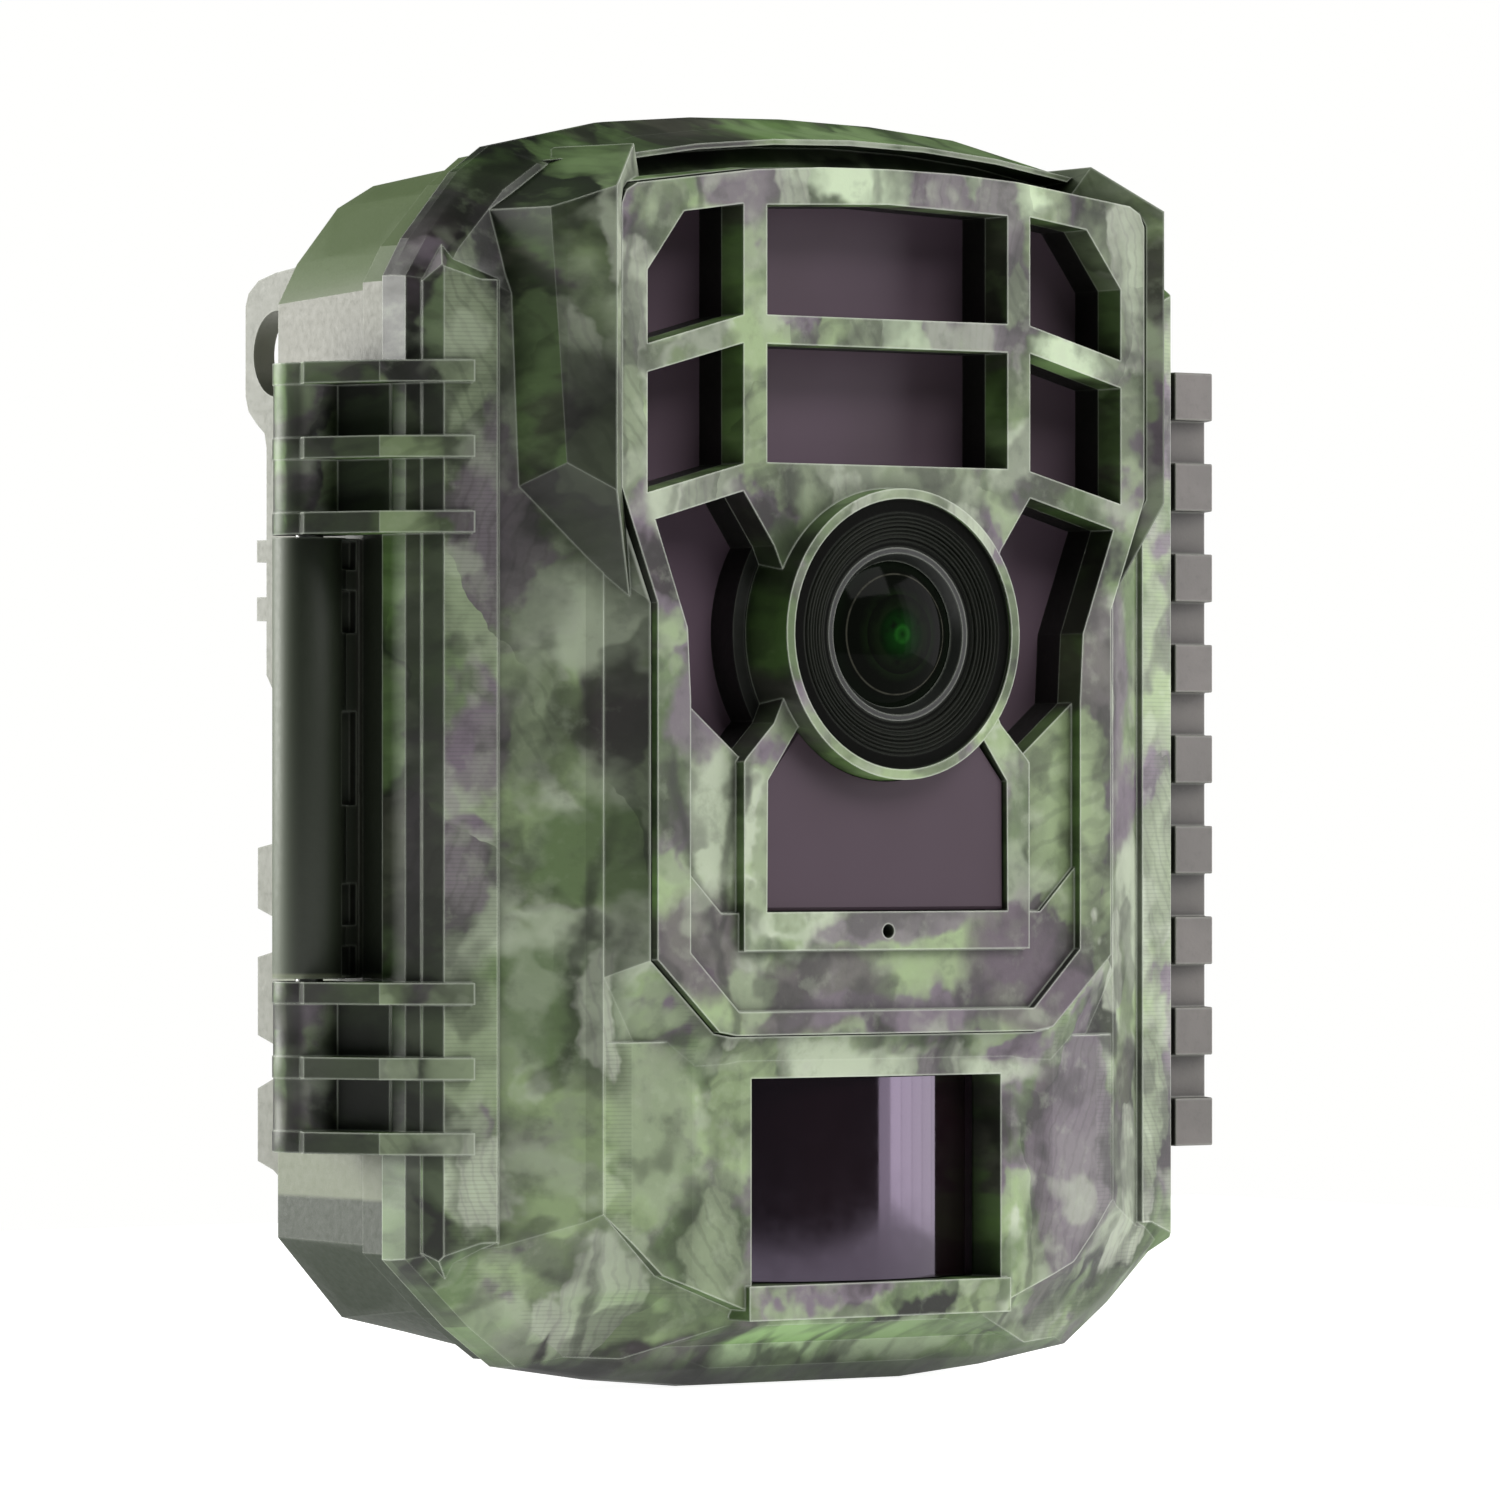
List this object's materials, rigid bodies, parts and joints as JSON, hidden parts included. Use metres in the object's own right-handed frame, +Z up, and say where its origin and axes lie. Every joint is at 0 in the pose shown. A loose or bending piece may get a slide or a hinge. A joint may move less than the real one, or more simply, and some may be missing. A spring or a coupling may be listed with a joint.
{
  "type": "trail camera",
  "caption": "Weatherproof outdoor camera with a hinged door, side latch, lens, infrared windows, motion sensor window, inner screen, battery tray and toothed tree bracket.",
  "frame": {"origin": "axis of the tripod thread in the bottom foot, at the surface the camera stands on", "axes": "+Z up, -Y is the way the lens looks, +X to the right of someone facing the lens, towards the latch"},
  "size_m": [0.1176, 0.0638, 0.1366],
  "materials": {
    "camo_shell": "satin moulded plastic with a printed leaf camouflage",
    "camo_panel": "satin moulded plastic with a printed leaf camouflage",
    "case_plastic": "matt moulded plastic, grey green",
    "latch_plastic": "matt moulded plastic, warm grey",
    "black_plastic": "matt black plastic",
    "filter_plastic": "smooth, passes infrared only",
    "fresnel_plastic": "glossy dark window",
    "trim_grey": "satin grey ring",
    "glass": "coated optical glass",
    "sensor_glass": "glass-covered silicon",
    "board_green": "solder mask",
    "led_clear": "clear resin",
    "steel": "plain",
    "brass": "turned",
    "rubber": "matt",
    "screen": "glossy black screen",
    "clear_window": "clear acrylic",
    "inner_black": "fine texture",
    "key_rubber": "soft grey",
    "cell_wrap": "plain printed sleeve",
    "white_plastic": "smooth"
  },
  "bodies": {
    "rear": {"rear_case": "case_plastic", "tripod_insert": "brass", "case_gasket": "rubber", "hinge_pin": "steel", "latch_pin": "steel", "battery_tray": "inner_black", "aa_cells": "cell_wrap", "battery_contacts": "steel", "battery_springs": "steel", "tray_screws": "steel", "tree_bracket": "case_plastic", "bracket_screws": "steel"},
    "door": {"front_cover": "camo_shell", "front_panel": "camo_panel", "ir_bezel": "black_plastic", "ir_filter": "filter_plastic", "lens_baffle": "black_plastic", "lens_ring": "trim_grey", "lens_front_glass": "glass", "lens_barrel": "black_plastic", "lens_rear_element": "glass", "lens_holder": "black_plastic", "image_sensor": "sensor_glass", "ir_leds": "led_clear", "ir_led_board": "board_green", "board_spacers": "brass", "pir_lens": "fresnel_plastic", "pir_holder": "white_plastic", "pir_sensor": "steel", "microphone": "steel", "main_board": "board_green", "board_screws": "steel", "lcd_screen": "screen", "lcd_window": "clear_window", "inner_panel": "inner_black", "inner_panel_screws": "steel", "key_switches": "black_plastic", "mode_switch_body": "steel", "sd_socket": "steel", "usb_socket": "steel"},
    "latch": {"latch": "latch_plastic"},
    "mode_switch": {"mode_switch_knob": "white_plastic"},
    "memory_card": {"sd_card": "black_plastic"},
    "ir_cut": {"ir_cut_filter": "sensor_glass"},
    "key_up_body": {"key_up": "key_rubber"},
    "key_down_body": {"key_down": "key_rubber"},
    "key_left_body": {"key_left": "key_rubber"},
    "key_right_body": {"key_right": "key_rubber"},
    "key_ok_body": {"key_ok": "key_rubber"},
    "key_menu_body": {"key_menu": "key_rubber"}
  },
  "joints": [
    {"name": "door_hinge", "type": "hinge", "parent": "rear", "child": "door", "pos_m": [-0.0546, -0.0035, 0.0673], "axis": [0, 0, -1], "range_deg": [0, 110]},
    {"name": "latch_hinge", "type": "hinge", "parent": "rear", "child": "latch", "pos_m": [0.0546, -0.0035, 0.0673], "axis": [0, 0, 1], "range_deg": [0, 95]},
    {"name": "mode_slide", "type": "slide", "parent": "door", "child": "mode_switch", "axis": [1, 0, 0], "range_m": [-0.0028, 0.0028]},
    {"name": "card_slide", "type": "slide", "parent": "door", "child": "memory_card", "axis": [0, 0, -1], "range_m": [0, 0.012]},
    {"name": "ir_cut_slide", "type": "slide", "parent": "door", "child": "ir_cut", "axis": [1, 0, 0], "range_m": [0, 0.0066]},
    {"name": "key_up_press", "type": "slide", "parent": "door", "child": "key_up_body", "axis": [0, -1, 0], "range_m": [0, 0.0006], "stiffness_N_per_m": 150},
    {"name": "key_down_press", "type": "slide", "parent": "door", "child": "key_down_body", "axis": [0, -1, 0], "range_m": [0, 0.0006], "stiffness_N_per_m": 150},
    {"name": "key_left_press", "type": "slide", "parent": "door", "child": "key_left_body", "axis": [0, -1, 0], "range_m": [0, 0.0006], "stiffness_N_per_m": 150},
    {"name": "key_right_press", "type": "slide", "parent": "door", "child": "key_right_body", "axis": [0, -1, 0], "range_m": [0, 0.0006], "stiffness_N_per_m": 150},
    {"name": "key_ok_press", "type": "slide", "parent": "door", "child": "key_ok_body", "axis": [0, -1, 0], "range_m": [0, 0.0006], "stiffness_N_per_m": 150},
    {"name": "key_menu_press", "type": "slide", "parent": "door", "child": "key_menu_body", "axis": [0, -1, 0], "range_m": [0, 0.0006], "stiffness_N_per_m": 150}
  ]
}
